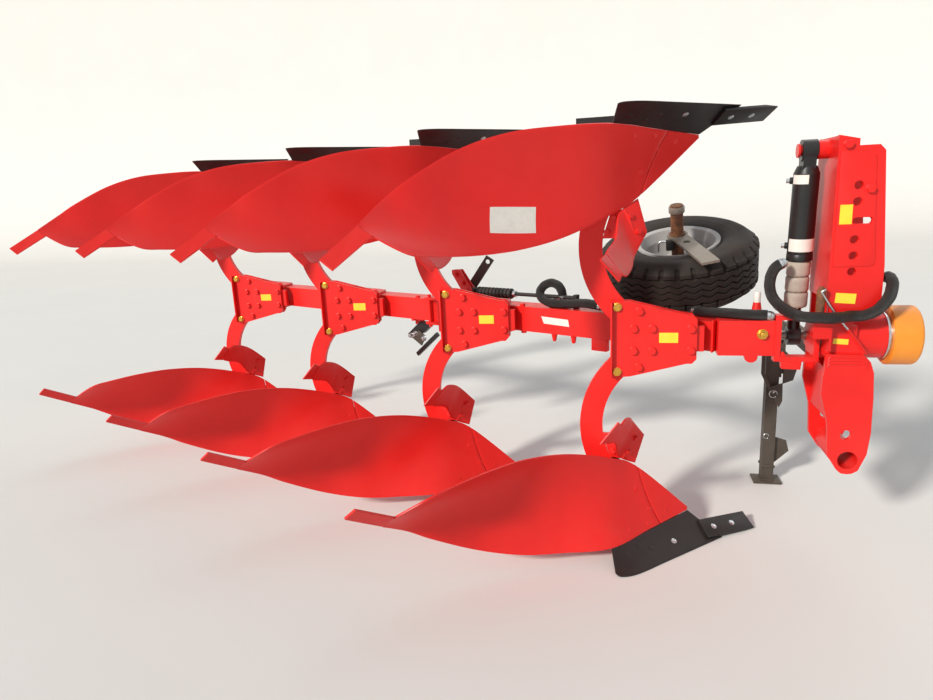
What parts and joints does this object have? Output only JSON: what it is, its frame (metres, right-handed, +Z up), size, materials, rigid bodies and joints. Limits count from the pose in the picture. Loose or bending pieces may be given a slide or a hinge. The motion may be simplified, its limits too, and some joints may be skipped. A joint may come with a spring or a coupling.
{
  "type": "reversible moldboard plough",
  "caption": "Mounted reversible moldboard plough: turning beam with paired red bodies above and below, hitch tower, turnover cylinder, stowed depth wheel and parking stand.",
  "frame": {"origin": "centre of the lower hitch bore, on the middle plane of the headstock", "axes": "+X forward towards the tractor, +Y to the left along the lower hitch bore, +Z up"},
  "size_m": [4.765, 2.6137, 1.8796],
  "materials": {
    "red_paint": "bright red enamel, light gloss",
    "black_paint": "black satin paint",
    "bare_steel": "machined steel",
    "orange_cap": "orange moulded plastic",
    "clip_grey": "pale grey moulded clips",
    "rubber_hose": "black braided sleeve",
    "tyre_rubber": "dusty black tyre rubber",
    "rust_brown": "rusty bare steel",
    "olive_paint": "dark olive-brown paint",
    "rim_paint": "light grey paint",
    "galvanised": "dull galvanised flat bar"
  },
  "bodies": {
    "headstock": {"cheek_right": "red_paint", "cheek_left": "red_paint", "tower_back": "red_paint", "cylinder_top_mount": "red_paint", "hub_housing": "red_paint", "hub_ring": "bare_steel", "hub_cap": "orange_cap", "hitch_leg_right": "red_paint", "hitch_leg_left": "red_paint", "hitch_tube": "red_paint", "lock_block": "red_paint", "lock_pin": "rust_brown", "tower_hose": "rubber_hose", "stand_bracket": "olive_paint"},
    "stand": {"stand_leg": "olive_paint"},
    "cylinder": {"cylinder_barrel": "black_paint", "stroke_clips": "clip_grey"},
    "rod": {"cylinder_rod": "black_paint"},
    "wheel": {"wheel_rim": "rim_paint", "wheel_tyre": "tyre_rubber"},
    "plough_frame": {"turnover_shaft": "bare_steel", "clevis_frame": "red_paint", "crank_pin": "bare_steel", "frame_hose": "rubber_hose", "beam": "red_paint", "bracket_1": "red_paint", "bracket_2": "red_paint", "bracket_3": "red_paint", "bracket_4": "red_paint", "legs_1": "red_paint", "legs_2": "red_paint", "legs_3": "red_paint", "legs_4": "red_paint", "frogs_1": "black_paint", "frogs_2": "black_paint", "frogs_3": "black_paint", "frogs_4": "black_paint", "mouldboards_1": "red_paint", "mouldboards_2": "red_paint", "mouldboards_3": "red_paint", "mouldboards_4": "red_paint", "shares_1": "black_paint", "shares_2": "black_paint", "shares_3": "black_paint", "shares_4": "black_paint", "tail_pieces": "red_paint", "trash_boards": "red_paint", "wheel_clamp": "red_paint", "wheel_arm": "olive_paint", "wheel_screw": "black_paint", "stow_carrier": "red_paint", "stow_spindle": "rust_brown", "stow_bar": "galvanised"}
  },
  "joints": [
    {"name": "turnover", "type": "hinge", "parent": "headstock", "child": "plough_frame", "pos_m": [0, 0, 0.5], "axis": [1, 0, 0], "range_deg": [0, 180]},
    {"name": "cylinder_swing", "type": "hinge", "parent": "headstock", "child": "cylinder", "pos_m": [-0.19, 0, 1.252], "axis": [1, 0, 0], "range_deg": [-9, 0]},
    {"name": "rod_slide", "type": "slide", "parent": "cylinder", "child": "rod", "axis": [0, 0.078, -0.997], "range_m": [-0.079, 0]},
    {"name": "wheel_spin", "type": "hinge", "parent": "plough_frame", "child": "wheel", "pos_m": [-0.632, 0.534, 0.762], "axis": [-0.0719, -0.284, 0.9561], "continuous": true},
    {"name": "stand_slide", "type": "slide", "parent": "headstock", "child": "stand", "axis": [0, 0, 1], "range_m": [0, 0.3]}
  ],
  "couplings": [
    {"joint": "cylinder_swing", "follows": "turnover", "ratio": -0.05}
  ]
}
